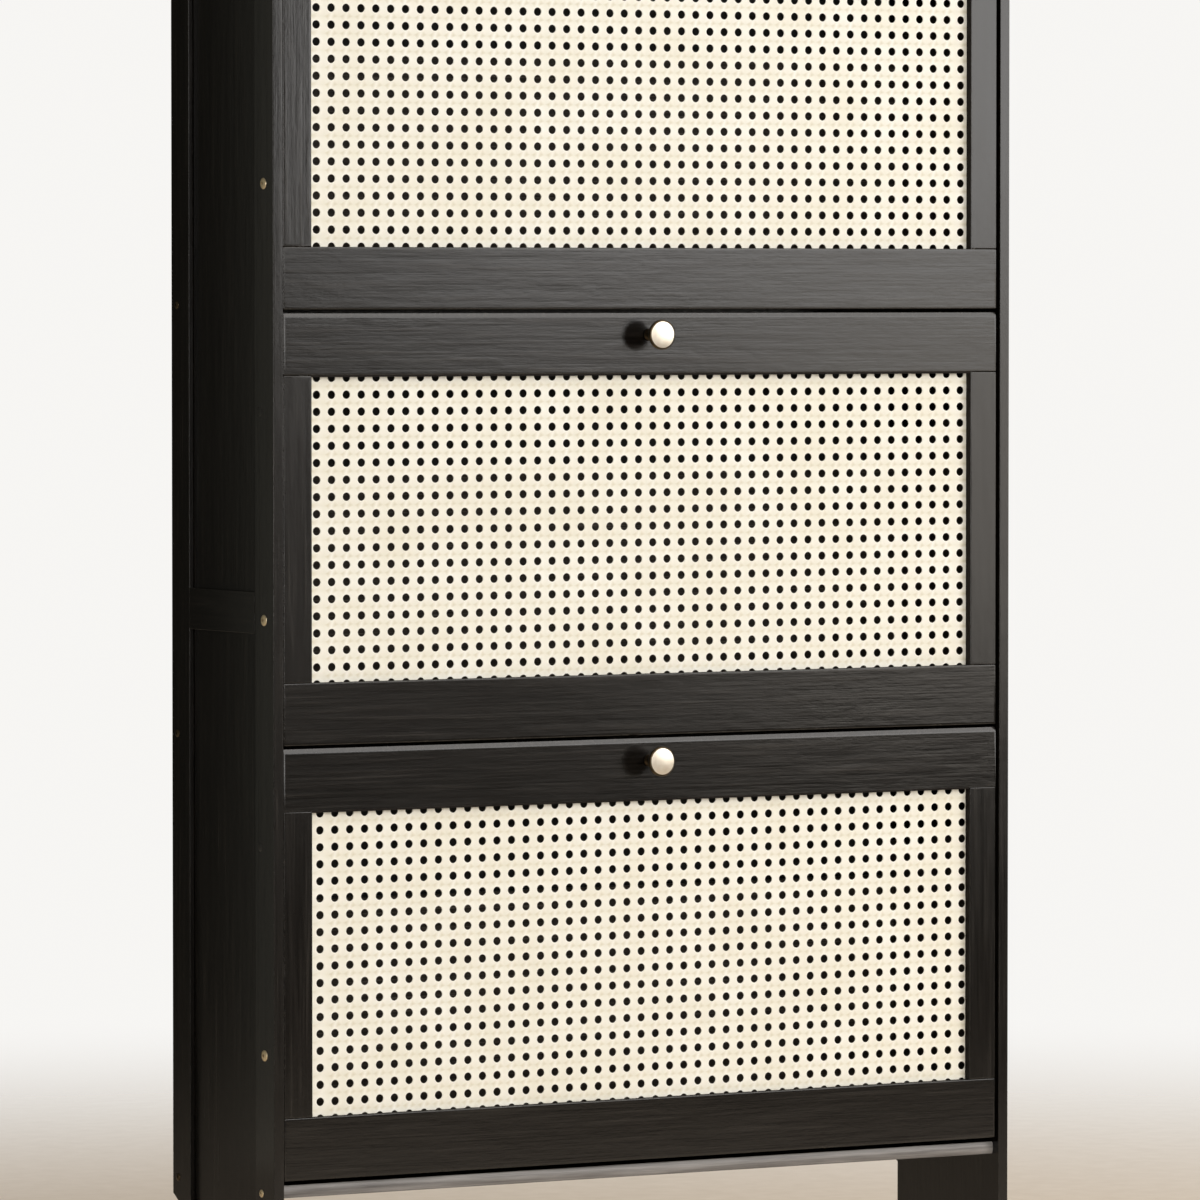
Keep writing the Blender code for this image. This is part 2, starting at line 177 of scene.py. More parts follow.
# colour, strength: the light from all round, and what the camera sees behind the floor
ROOM = ((1.0, 0.94, 0.80, 1), 0.032)
BACKDROP = ((0.90, 0.89, 0.87, 1), 1.03)


# ---------------------------------------------------------------- materials

class Nodes:
    """A material's node tree, with short ways to add nodes and join them."""

    def __init__(self, name):
        self.material = bpy.data.materials.new(name)
        self.material.use_nodes = True
        self.tree = self.material.node_tree
        self.shader = self.tree.nodes["Principled BSDF"]

    def add(self, kind, **settings):
        """Adds a node; inputs are given as in_NAME=value, with _ for a space."""
        node = self.tree.nodes.new("ShaderNode" + kind)
        for key, value in settings.items():
            if key.startswith("in_"):
                node.inputs[key[3:].replace("_", " ")].default_value = value
            else:
                setattr(node, key, value)
        return node

    def join(self, start, end):
        self.tree.links.new(start, end)

    def set(self, name, value):
        """Sets one of the shader's own sockets."""
        self.shader.inputs[name].default_value = value

    def drive(self, name, value):
        """Joins a varying value to one of the shader's sockets."""
        self.join(value, self.shader.inputs[name])

    def places(self, scale=(1, 1, 1), shift=(0, 0, 0)):
        """Object coordinates, stretched."""
        coordinates = self.add("TexCoord")
        mapping = self.add("Mapping", in_Scale=scale, in_Location=shift)
        self.join(coordinates.outputs["Object"], mapping.inputs["Vector"])
        return mapping.outputs["Vector"]

    def noise(self, scale=(1, 1, 1), detail=4.0, roughness=0.55, shift=(0, 0, 0)):
        """Noise over places; one number for the scale or shift stands for all three axes."""
        if not hasattr(scale, "__len__"):
            scale = (scale,) * 3
        if not hasattr(shift, "__len__"):
            shift = (shift,) * 3
        node = self.add("TexNoise", in_Scale=1.0, in_Detail=detail, in_Roughness=roughness)
        self.join(self.places(scale, shift), node.inputs["Vector"])
        return node.outputs["Fac"]

    def ramp(self, value, *stops):
        """A colour ramp over (place, grey or colour) stops."""
        node = self.add("ValToRGB")
        ramp = node.color_ramp
        while len(ramp.elements) < len(stops):
            ramp.elements.new(0.5)
        for element, (place, colour) in zip(ramp.elements, stops):
            element.position = place
            if not hasattr(colour, "__len__"):
                colour = (colour,) * 3
            element.color = (*colour, 1)
        self.join(value, node.inputs["Fac"])
        return node.outputs["Color"]

    def math(self, operation, first, second, clamp=False):
        node = self.add("Math", operation=operation, use_clamp=clamp)
        for socket, value in zip(node.inputs, (first, second)):
            if isinstance(value, (int, float)):
                socket.default_value = value
            else:
                self.join(value, socket)
        return node.outputs["Value"]

    def contrast(self, value, gain):
        """Spreads a value about its middle."""
        spread = self.math("MULTIPLY", self.math("SUBTRACT", value, 0.5), gain)
        return self.math("ADD", spread, 0.5, clamp=True)

    def blend(self, first, second, share):
        """Adds two values, the first at its share and the second at the rest."""
        return self.math("ADD", self.math("MULTIPLY", first, share),
                         self.math("MULTIPLY", second, 1 - share))

    def mix(self, share, first, second):
        """Mixes a varying colour with a plain one, by a varying share."""
        node = self.add("Mix", data_type="RGBA")
        self.join(share, node.inputs[0])
        self.join(first, node.inputs[6])
        node.inputs[7].default_value = (*second, 1)
        return node.outputs[2]

    def attribute(self, name):
        return self.add("Attribute", attribute_name=name).outputs["Fac"]

    def bump(self, height, strength, distance, after=None):
        node = self.add("Bump", in_Strength=strength, in_Distance=distance)
        self.join(height, node.inputs["Height"])
        if after is not None:
            self.join(after, node.inputs["Normal"])
        return node.outputs["Normal"]


def grain_scale(axis, along, across):
    """Stretches noise along one axis, as wood grain runs."""
    scale = [across] * 3
    scale["xyz".index(axis)] = along
    return scale


def painted_wood(name, axis, shift, tone=1.0, rough=(0.12, 0.23), gloss=0.5):
    """Black satin paint over brushed grain, rubbed thin along worn edges."""
    made = Nodes(name)
    fine = made.noise(grain_scale(axis, 14, 620), detail=5, roughness=0.6, shift=shift)
    fine = made.contrast(fine, 2.2)
    broad = made.contrast(made.noise(grain_scale(axis, 5, 150), detail=4, shift=shift + 3), 2.0)
    cloud = made.contrast(made.noise(5, detail=3, shift=shift + 7), 1.6)
    streaks = made.blend(fine, broad, 0.6)
    shades = ((0.25, (3.6, 2.9, 2.3)), (0.60, (6.6, 5.4, 4.3)), (0.90, (20.0, 17.0, 14.0)))
    colour = made.ramp(streaks, *(
        (place, [0.001 * tone * part for part in shade]) for place, shade in shades
    ))

    chips = made.noise(260, detail=5, roughness=0.7, shift=shift)
    worn = made.math("MULTIPLY", made.attribute("wear"), chips)
    worn = made.math("SUBTRACT", worn, 0.42, clamp=True)
    worn = made.math("MULTIPLY", worn, 0.8, clamp=True)
    made.drive("Base Color", made.mix(worn, colour, (0.110, 0.100, 0.086)))

    sheen = made.blend(streaks, cloud, 0.6)
    made.drive("Roughness", made.ramp(sheen, (0.20, rough[0]), (0.80, rough[1])))
    waves = made.noise(grain_scale(axis, 26, 75), detail=5, roughness=0.6, shift=shift + 9)
    normal = made.bump(made.contrast(waves, 1.8), 0.8, 0.11 * MM)
    normal = made.bump(broad, 0.8, 0.055 * MM, after=normal)
    made.drive("Normal", made.bump(fine, 0.8, 0.024 * MM, after=normal))
    made.set("Specular IOR Level", gloss)
    return made.material


def edge_strip():
    """Grey foil along the front edge of the bottom board, rubbed along its length."""
    made = Nodes("grey_edge_strip")
    fine = made.contrast(made.noise(grain_scale("x", 9, 900), detail=6, roughness=0.7), 2.0)
    broad = made.contrast(made.noise(grain_scale("x", 14, 240), detail=3, shift=5), 2.2)
    streaks = made.blend(fine, broad, 0.45)
    colour = made.ramp(streaks, (0.20, (0.105, 0.098, 0.094)), (0.80, (0.290, 0.278, 0.268)))
    made.drive("Base Color", colour)
    made.drive("Roughness", made.ramp(streaks, (0.2, 0.36), (0.8, 0.52)))
    made.drive("Normal", made.bump(streaks, 0.6, 0.08 * MM))
    made.set("Specular IOR Level", 0.5)
    return made.material


def webbing():
    """Ivory plastic webbing: flat strands both ways, a little darker in the hollows as painted
    shade.
    """
    made = Nodes("ivory_webbing")
    tint = made.noise(22, detail=3)
    colour = made.ramp(tint, (0.30, (0.815, 0.785, 0.675)), (0.70, (0.865, 0.850, 0.775)))
    # painted shade: the colour is mixed towards a darker yellow in the dimples between the rows of
    # holes
    made.drive("Base Color", made.mix(made.attribute("hollow_shade"), colour, (0.660, 0.610, 0.450)))
    places = made.places((2 / math.pi / PITCH,) * 3)
    strands = []
    for direction in "XZ":
        wave = made.add("TexWave", wave_type="BANDS", bands_direction=direction,
                        in_Scale=1.0, in_Distortion=1.0, in_Detail=1.0)
        made.join(places, wave.inputs["Vector"])
        strands.append(wave.outputs["Fac"])
    made.drive("Normal", made.bump(made.math("ADD", *strands), 0.20, 0.12 * MM))
    made.drive("Roughness", made.ramp(tint, (0.2, 0.42), (0.8, 0.55)))
    made.set("Specular IOR Level", 0.45)
    return made.material


def brass(name, rings=0.0, rough=(0.24, 0.36), whiter=0.0):
    """Pale brass, slightly tarnished; turned brass has fine rings about its axis."""
    made = Nodes(name)
    dull, bright = (
        [part + (1 - part) * whiter for part in shade]
        for shade in ((0.800, 0.640, 0.400), (0.900, 0.780, 0.560))
    )
    haze = made.noise(180, detail=4)
    made.drive("Base Color", made.ramp(haze, (0.30, dull), (0.70, bright)))
    made.set("Metallic", 1.0)
    made.drive("Roughness", made.ramp(haze, (0.2, rough[0]), (0.8, rough[1])))
    if rings:
        wave = made.add("TexWave", wave_type="RINGS", rings_direction="Y",
                        in_Scale=rings, in_Distortion=0.4, in_Detail=2.0)
        made.join(made.places(), wave.inputs["Vector"])
        made.drive("Normal", made.bump(wave.outputs["Fac"], 0.10, 0.05 * MM))
    return made.material


def aged_brass():
    """Brass darkened to near black, with a little of its colour left."""
    made = Nodes("aged_brass")
    haze = made.noise(220, detail=5)
    colour = made.ramp(haze, (0.30, (0.030, 0.022, 0.014)), (0.75, (0.120, 0.085, 0.045)))
    made.drive("Base Color", colour)
    made.set("Metallic", 0.85)
    made.drive("Roughness", made.ramp(haze, (0.2, 0.30), (0.8, 0.45)))
    return made.material


def moulded_plastic():
    """Matt black plastic with a fine moulded texture."""
    made = Nodes("black_plastic")
    grit = made.noise(900, detail=2)
    colour = made.ramp(grit, (0.3, (0.010, 0.010, 0.010)), (0.7, (0.020, 0.020, 0.019)))
    made.drive("Base Color", colour)
    made.drive("Roughness", made.ramp(grit, (0.2, 0.38), (0.8, 0.52)))
    made.drive("Normal", made.bump(grit, 0.15, 0.1 * MM))
    return made.material


def gasket_rubber():
    """Matt brownish black, faintly mottled: the colour of the painted shade that lines the
    openings.
    """
    made = Nodes("gasket_rubber")
    mottle = made.noise(300, detail=4)
    # painted shade: near-black colour for the lining of the openings
    colour = made.ramp(mottle, (0.3, (0.0050, 0.0032, 0.0022)), (0.7, (0.0100, 0.0065, 0.0045)))
    made.drive("Base Color", colour)
    made.drive("Roughness", made.ramp(mottle, (0.2, 0.60), (0.8, 0.80)))
    made.set("Specular IOR Level", 0.2)
    return made.material


def backing_board():
    """Thin pressed fibre board, stained black."""
    made = Nodes("backing_board")
    fibre = made.noise(150, detail=8, roughness=0.75)
    value = made.blend(fibre, made.noise(4, detail=3), 0.7)
    colour = made.ramp(value, (0.30, (0.016, 0.014, 0.012)), (0.70, (0.046, 0.042, 0.037)))
    made.drive("Base Color", colour)
    made.drive("Roughness", made.ramp(value, (0.2, 0.60), (0.8, 0.80)))
    made.drive("Normal", made.bump(fibre, 0.25, 0.2 * MM))
    return made.material


def zinc():
    """Dull zinc of the small nails."""
    made = Nodes("zinc")
    haze = made.noise(400, detail=4)
    made.drive("Base Color", made.ramp(haze, (0.3, (0.42, 0.42, 0.43)), (0.7, (0.62, 0.62, 0.63))))
    made.set("Metallic", 1.0)
    made.drive("Roughness", made.ramp(haze, (0.2, 0.35), (0.8, 0.55)))
    return made.material


# Paints, with the axis that the grain runs along and where in the pattern each is cut.
# The sides and the top are duller than the rest.
PAINTS = {
    "long": ("x", 11, {}),
    "top": ("x", 19, {"rough": (0.46, 0.60), "gloss": 0.08}),
    "panel_left": ("z", 31, {"rough": (0.19, 0.28), "gloss": 0.38}),
    "panel_right": ("z", 37, {"rough": (0.19, 0.28), "gloss": 0.38}),
    "side_rails": ("y", 29, {"rough": (0.19, 0.28), "gloss": 0.42}),
    "post_left": ("z", 83, {"rough": (0.13, 0.24)}),
    "post_right": ("z", 89, {"rough": (0.13, 0.24)}),
    "bucket": ("x", 71, {"tone": 12.0, "rough": (0.40, 0.55), "gloss": 0.3}),
    "stile_left": ("z", 41, {}),
    "stile_right": ("z", 43, {}),
    "rail_lower": ("x", 50, {}),
    "rail_middle": ("x", 57, {}),
    "rail_upper": ("x", 64, {}),
}


def make_surfaces():
    made = {
        f"paint_{name}": painted_wood(f"paint_{name}", axis, shift, **rest)
        for name, (axis, shift, rest) in PAINTS.items()
    }
    made["edge_strip"] = edge_strip()
    made["webbing"] = webbing()
    made["knob_brass"] = brass("knob_brass", rings=160.0, rough=(0.28, 0.40), whiter=0.45)
    made["aged_brass"] = aged_brass()
    made["bolt_brass"] = brass("bolt_brass", rough=(0.42, 0.58))
    made["plastic"] = moulded_plastic()
    # painted shade for the lining of the drawer fronts' openings
    made["gasket"] = gasket_rubber()
    made["backing"] = backing_board()
    made["zinc"] = zinc()
    return made


SURFACES = make_surfaces()


# ------------------------------------------------------------------- shapes

def put_in_order(items, place):
    """Sorts corners or faces by place. A bevel leaves them in an order that varies."""
    for index, item in enumerate(sorted(items, key=place)):
        item.index = index
    items.sort()


def mesh_object(name, shape, surface, crease):
    """Turns a bmesh into a smooth-shaded object, sharp past a crease angle in degrees."""
    put_in_order(shape.verts, lambda corner: tuple(corner.co))
    put_in_order(shape.faces, lambda face: tuple(face.calc_center_median()))
    mesh = bpy.data.meshes.new(name)
    shape.to_mesh(mesh)
    shape.free()
    mesh.materials.append(surface)
    mesh.shade_smooth()
    mesh.set_sharp_from_angle(angle=math.radians(crease))
    made = bpy.data.objects.new(name, mesh)
    bpy.context.scene.collection.objects.link(made)
    return made


def settle(made, body, nodes=()):
    """Hangs a piece on the body it rides on and hides the solids it stands for."""
    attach(made, body)
    if nodes:
        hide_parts(*nodes)


def flat_piece(name, shape, surface, body, nodes=()):
    """A piece with broad faces, shaded flat up to its rounded edges."""
    made = mesh_object(name, shape, surface, 40)
    shading = made.modifiers.new("flat_faces", "WEIGHTED_NORMAL")
    shading.keep_sharp = True
    settle(made, body, nodes)


def turned_piece(name, rings, steps, surface, position, body, nodes=(), turn=Matrix()):
    """A lathe's shape, turned about the origin and moved to its place."""
    made = mesh_object(name, lathe(rings, steps), surface, 35)
    made.matrix_world = Matrix.Translation(position) @ turn
    settle(made, body, nodes)


def node_middle(node):
    low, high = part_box(node)
    return (low + high) / 2


def flat_regions(faces):
    """Groups of joined faces that lie in one plane."""
    waiting = dict.fromkeys(faces)    # a set that keeps its order
    while waiting:
        region = []
        edge_of_region = [next(iter(waiting))]
        del waiting[edge_of_region[0]]
        while edge_of_region:
            face = edge_of_region.pop()
            region.append(face)
            for edge in face.edges:
                for other in edge.link_faces:
                    if other in waiting and other.normal.dot(face.normal) > SAME_PLANE:
                        del waiting[other]
                        edge_of_region.append(other)
        yield region


def is_broad(region, width):
    """Whether a region is well wider than a width, by its area and outline."""
    inside = set(region)
    outline = sum(
        edge.calc_length()
        for face in region
        for edge in face.edges
        if any(other not in inside for other in edge.link_faces)
    )
    return 2 * sum(face.calc_area() for face in region) > width * outline


def finish_edges(shape, radius, band):
    """Rounds the sharp edges and marks them, fading inwards, in the wear layer."""
    wear = shape.verts.layers.float.new("wear")
    sharp = [e for e in shape.edges if e.is_manifold and e.calc_face_angle() > SHARP]
    rounded = bmesh.ops.bevel(
        shape,
        geom=sharp,
        offset=radius,
        segments=3,
        profile=0.5,
        affect="EDGES",
        clamp_overlap=True,
    )
    edge_faces = set(rounded["faces"])
    for corner in {v for face in edge_faces for v in face.verts}:
        corner[wear] = 1.0
    shape.normal_update()
    for region in list(flat_regions([f for f in shape.faces if f not in edge_faces])):
        if not is_broad(region, 3 * band):
            continue
        bmesh.ops.inset_region(shape, faces=region, thickness=band, use_even_offset=True)
        for corner in {v for face in region for v in face.verts}:
            corner[wear] = 0.0
    bmesh.ops.recalc_face_normals(shape, faces=shape.faces)


def cuboid(low, high):
    """A block between two corners."""
    shape = bmesh.new()
    bmesh.ops.create_cube(shape, size=1.0)
    for corner in shape.verts:
        for axis in range(3):
            middle = (low[axis] + high[axis]) / 2
            corner.co[axis] = middle + corner.co[axis] * (high[axis] - low[axis])
    return shape


def drawn_out(outline, axis, end):
    """A flat outline of points, drawn out along an axis to an end."""
    shape = bmesh.new()
    near = [shape.verts.new(point) for point in outline]
    far = [shape.verts.new(point) for point in outline]
    for corner in far:
        corner.co[axis] = end
    shape.faces.new(near)
    shape.faces.new(far)
    skirt(shape, near, far)
    bmesh.ops.recalc_face_normals(shape, faces=shape.faces)
    return shape


def skirt(shape, first, second):
    """A band of faces between two loops of corners."""
    for index in range(len(first)):
        after = (index + 1) % len(first)
        shape.faces.new((first[index], first[after], second[after], second[index]))


def painted(node, shape, body, surface, radius, band):
    """A painted board of that shape in the place of a node."""
    finish_edges(shape, radius, band)
    flat_piece(f"{node}_board", shape, surface, body, [node])


def board(node, surface, radius=EDGE_RADIUS):
    """A plain painted board of the carcass in the place of a node."""
    low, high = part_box(node)
    band = min(WEAR_BAND, min(high - low) / 4)
    painted(node, cuboid(low, high), "carcass", surface, radius, band)


def carved_board(node, body, surface):
    """A painted board with a node's own shape, rebates and bores, and finer edges."""
    shape = bmesh.new()
    shape.from_mesh(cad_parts[node].data)
    bmesh.ops.remove_doubles(shape, verts=shape.verts, dist=1e-6)
    bmesh.ops.dissolve_limit(shape, angle_limit=math.radians(1),
                             verts=shape.verts, edges=shape.edges)
    painted(node, shape, body, surface, EDGE_RADIUS, WEAR_BAND)


def lathe(rings, steps):
    """A turned shape about Y, from rings of (distance, radius).

    A radius may be a function of the angle.
    """
    shape = bmesh.new()
    loops = []
    for distance, radius in rings:
        if radius == 0:
            loops.append([shape.verts.new((0, distance, 0))])
            continue
        loop = []
        for index in range(steps):
            angle = math.tau * index / steps
            reach = radius(angle) if callable(radius) else radius
            point = (reach * math.cos(angle), distance, reach * math.sin(angle))
            loop.append(shape.verts.new(point))
        loops.append(loop)
    for first, second in zip(loops, loops[1:]):
        for index in range(steps):
            after = (index + 1) % steps
            corners = [first[index % len(first)], first[after % len(first)],
                       second[after % len(second)], second[index % len(second)]]
            unique = list(dict.fromkeys(corners))
            if len(unique) > 2:
                shape.faces.new(unique)
    bmesh.ops.recalc_face_normals(shape, faces=shape.faces)
    return shape


def hexagon(across):
    """Radius of a hexagon with that distance across its flats, at an angle."""
    def radius(angle):
        return across / 2 / math.cos(angle % (math.pi / 3) - math.pi / 6)
    return radius


def in_millimetres(rings, start=0.0):
    """Rings given in millimetres, in metres from a start."""
    return [(start + distance * MM, radius * MM) for distance, radius in rings]


# ------------------------------------------------------------ woven panels

class Webbing:
    """A sheet with a square grid of round holes, built cell by cell.

    Corners are kept by their place, so that neighbouring cells share them. Each
    hole has a raised rim, and the outermost cells reach to the sheet's edges.
    """

    # Rings round a hole, from its front edge outwards, in millimetres: distance
    # beyond it, height above the deepest part of the front
    RIM = ((0.0, 0.0), (0.14, 0.17), (0.42, 0.26), (0.95, 0.13))
    RIM_LEVEL = 0.26          # millimetres from the foremost ring back to height 0
    FRONT_LEVEL = 0.22        # the same to the plain front
    DIMPLE = 0.18             # depth of a full dimple, in millimetres
    BESIDE = 0.7              # how full the dimples are beside the columns of holes
    BETWEEN = 0.35            # and halfway between them
    FLARE = 0.25 * MM         # how much wider a hole is at the back
    STEPS = 4                 # along each edge of a cell

    def __init__(self, low, high, middle):
        self.low = low
        self.high = high
        self.xs = self.spread(middle.x + PITCH / 2, low.x, high.x)
        self.zs = self.spread(middle.z, low.z, high.z)
        self.shape = bmesh.new()
        # how deep each corner lies in a dimple, which sets the painted shade in the hollows
        self.hollow_shade = self.shape.verts.layers.float.new("hollow_shade")
        self.corners = {}

    @staticmethod
    def spread(start, low, high):
        """Middles of the holes that fit between two edges, in step with a start."""
        room = HOLE_RADIUS + HOLE_ROOM
        first = math.ceil((low + room - start) / PITCH)
        last = math.floor((high - room - start) / PITCH)
        return [start + n * PITCH for n in range(first, last + 1)]

    @staticmethod
    def borders(middles, low, high):
        """Limits of the cells round those holes."""
        between = [(a + b) / 2 for a, b in zip(middles, middles[1:])]
        return [low] + between + [high]

    def corner(self, x, y, z, hollow_shade=0.0):
        key = (round(x, 6), round(y, 6), round(z, 6))
        if key not in self.corners:
            made = self.shape.verts.new((x, y, z))
            made[self.hollow_shade] = hollow_shade
            self.corners[key] = made
        return self.corners[key]

    def front(self, x, z):
        """A point of the front on a cell's limit: dimples between the rows."""
        across = math.tau * (x - self.xs[0]) / PITCH
        upward = math.tau * (z - self.zs[0]) / PITCH
        between_rows = (1 - math.cos(upward)) / 2
        between_columns = (1 - math.cos(across)) / 2
        beside = math.sin(across) ** 2
        dimple = between_rows * (self.BESIDE * beside + self.BETWEEN * between_columns)
        depth = (self.FRONT_LEVEL + self.DIMPLE * dimple) * MM
        # the dimple's depth also sets the painted shade at this point
        return self.corner(x, self.low.y + depth, z, dimple)

    def back(self, x, z):
        return self.corner(x, self.high.y, z)

    def limit(self, x0, x1, z0, z1):
        """Points round a cell, from its lower right corner."""
        turns = [(x1, z0), (x1, z1), (x0, z1), (x0, z0)]
        points = []
        for (ax, az), (bx, bz) in zip(turns, turns[1:] + turns[:1]):
            for step in range(self.STEPS):
                share = step / self.STEPS
                points.append((ax + (bx - ax) * share, az + (bz - az) * share))
        return points

    def cell(self, x, z, points):
        """One hole with its surroundings."""
        outer = [self.front(*point) for point in points]
        for widen, height in reversed(self.RIM):
            depth = (self.RIM_LEVEL - height) * MM
            inner = self.ring(x, z, HOLE_RADIUS + widen * MM, self.low.y + depth)
            skirt(self.shape, outer, inner)
            outer = inner
        wall = self.ring(x, z, HOLE_RADIUS + self.FLARE, self.high.y)
        skirt(self.shape, outer, wall)
        skirt(self.shape, wall, [self.back(*point) for point in points])

    def ring(self, x, z, reach, y):
        count = 4 * self.STEPS
        angles = [math.tau * (index / count - 0.125) for index in range(count)]
        return [self.corner(x + reach * math.cos(a), y, z + reach * math.sin(a)) for a in angles]

    def outline(self, x_limits, z_limits):
        """Points round the whole sheet, in the outer cells' steps."""
        def fine(limits):
            points = []
            for low, high in zip(limits, limits[1:]):
                points += [low + (high - low) * step / self.STEPS for step in range(self.STEPS)]
            return points + [limits[-1]]

        xs = fine(x_limits)
        zs = fine(z_limits)
        points = [(xs[-1], z) for z in zs[:-1]]
        points += [(x, zs[-1]) for x in reversed(xs[1:])]
        points += [(xs[0], z) for z in reversed(zs[1:])]
        points += [(x, zs[0]) for x in xs[:-1]]
        return points

    def build(self):
        x_limits = self.borders(self.xs, self.low.x, self.high.x)
        z_limits = self.borders(self.zs, self.low.z, self.high.z)
        for x, x0, x1 in zip(self.xs, x_limits, x_limits[1:]):
            for z, z0, z1 in zip(self.zs, z_limits, z_limits[1:]):
                self.cell(x, z, self.limit(x0, x1, z0, z1))
        outline = self.outline(x_limits, z_limits)
        skirt(self.shape, [self.front(*point) for point in outline],
              [self.back(*point) for point in outline])
        bmesh.ops.recalc_face_normals(self.shape, faces=self.shape.faces)
        return self.shape


def opening(drawer):
    """Lower left and upper right corners of a drawer front's opening, on its face."""
    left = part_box(f"{drawer}_front_left_stile")[1].x
    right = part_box(f"{drawer}_front_right_stile")[0].x
    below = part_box(f"{drawer}_front_bottom_rail")[1].z
    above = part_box(f"{drawer}_front_top_rail")[0]
    return Vector((left, above.y, below)), Vector((right, above.y, above.z))


def build_webbing(drawer):
    low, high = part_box(f"{drawer}_woven_panel")
    high.y = low.y + WEBBING_THICKNESS
    below, above = opening(drawer)
    shift_x, shift_z = GRID_SHIFTS[drawer]
    middle = Vector((shift_x, 0, (below.z + above.z) / 2 + shift_z))
    shape = Webbing(low, high, middle).build()
    flat_piece(f"{drawer}_webbing", shape, SURFACES["webbing"], f"{drawer}_drawer",
               [f"{drawer}_woven_panel"])


def build_gasket(drawer):
    """A thin black strip of painted shade that lines a drawer front's opening, in to the webbing,
    thickest along the top as the rail's shadow.
    """
    below, above = opening(drawer)
    front = above.y + EDGE_RADIUS + SHADE_LINING_SHIFT
    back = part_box(f"{drawer}_woven_panel")[0].y + SHADE_LINING_SHIFT
    shape = bmesh.new()
    loops = []
    for y, share in ((front, 0), (front, 1), (back, 1), (back, 0)):
        x0, x1 = below.x + SHADE_LINING * share, above.x - SHADE_LINING * share
        # the top is set in furthest, for the painted shadow under the rail
        z0, z1 = below.z + SHADE_LINING_BOTTOM * share, above.z - SHADE_LINING_TOP * share
        corners = ((x0, z0), (x1, z0), (x1, z1), (x0, z1))
        loops.append([shape.verts.new((x, y, z)) for x, z in corners])
    for first, second in zip(loops, loops[1:] + loops[:1]):
        skirt(shape, first, second)
    bmesh.ops.recalc_face_normals(shape, faces=shape.faces)
    # a dark sheet that stands in for the shade in the opening
    flat_piece(f"{drawer}_gasket", shape, SURFACES["gasket"], f"{drawer}_drawer")


# --------------------------------------------------------- knobs, fasteners

def rim_arc(distance, radius, start, end):
    """Four rings on the rounded rim of a knob's disc, between two angles in degrees."""
    rings = []
    for step in range(4):
        angle = math.radians(start + (end - start) * step / 3)
        rings.append((distance + KNOB_ROLL * math.sin(angle),
                      radius + KNOB_ROLL * math.cos(angle)))
    return rings


def build_knob(drawer):
    """A turned knob: shank, flared foot, slim neck, and a disc with a bright face let in."""
    node = f"{drawer}_knob"
    low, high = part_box(node)
    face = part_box(f"{drawer}_front_top_rail")[0].y
    position = Vector(((low.x + high.x) / 2, face, (low.z + high.z) / 2))
    front = low.y - face
    back = front + KNOB_DISC
    inlay = (high.x - low.x) / 2 - KNOB_ROLL
    rings = in_millimetres(KNOB_STEM) + in_millimetres(KNOB_FLARE, back)
    rings += [(back, inlay)]
    rings += rim_arc(back - KNOB_ROLL, inlay, 67.5, 0)
    rings += rim_arc(front + KNOB_ROLL, inlay, 0, -67.5)
    rings += [(front, inlay), (front + KNOB_SINK, inlay), (front + KNOB_SINK, 0)]
    turned_piece(f"{node}_body", rings, 64, SURFACES["aged_brass"], position,
                 f"{drawer}_drawer", [node])
    rings = [(front + KNOB_FACE[0][0] * MM, 0)]
    rings += [(front + distance * MM, inlay - inward * MM) for distance, inward in KNOB_FACE]
    rings += [(front + KNOB_FACE_MIDDLE, 0)]
    turned_piece(f"{node}_face", rings, 64, SURFACES["knob_brass"], position,
                 f"{drawer}_drawer", [node])


def outward(side):
    """The turn that points a lathe's -Y, its head, out of a side."""
    return Matrix.Rotation(math.radians(90 * SIDES[side]), 4, "Z")


def outer_face(side):
    """X of a side's outer face."""
    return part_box(f"side_{side}_front_post")[0 if side == "left" else 1].x


def bolt_rings(head, shank, length):
    """Rings of a bolt: shank, domed head, hexagon socket. The head points to -Y."""
    radius, height, socket = head
    rings = [(length, 0), (length, shank), (0.0, shank), (0.0, radius)]
    for index in range(1, 6):
        angle = math.radians(15 * index)
        reach = HEAD_FLAT + (1 - HEAD_FLAT) * math.cos(angle)
        rings.append((-height * math.sin(angle), radius * reach))
    rings += [
        (-height, hexagon(socket)),
        (SOCKET_FLOOR * height, hexagon(SOCKET_TAPER * socket)),
        (SOCKET_FLOOR * height, 0),
    ]
    return rings


def build_fasteners(drawer):
    """Pivot bolts and stop pins of one drawer."""
    for side in SIDES:
        node = f"{drawer}_{side}_pivot_bolt"
        low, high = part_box(node)
        rings = bolt_rings(BOLT_HEAD, BOLT_SHANK, high.x - low.x - BOLT_HEAD_IN_MODEL)
        position = node_middle(node)
        position.x = outer_face(side)
        turned_piece(f"{node}_turned", rings, 24, SURFACES["bolt_brass"], position,
                     "carcass", [node], outward(side))

        node = f"{drawer}_{side}_stop_pin"
        low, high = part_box(node)
        length = high.x - low.x
        rings = [(length, 0), (length, PIN_RADIUS - PIN_END), (length - PIN_BEVEL, PIN_RADIUS)]
        rings += in_millimetres(PIN_HEAD)
        position = node_middle(node)
        position.x = outer_face(side)
        turned_piece(f"{node}_moulded", rings, 24, SURFACES["plastic"], position,
                     "carcass", [node], outward(side))


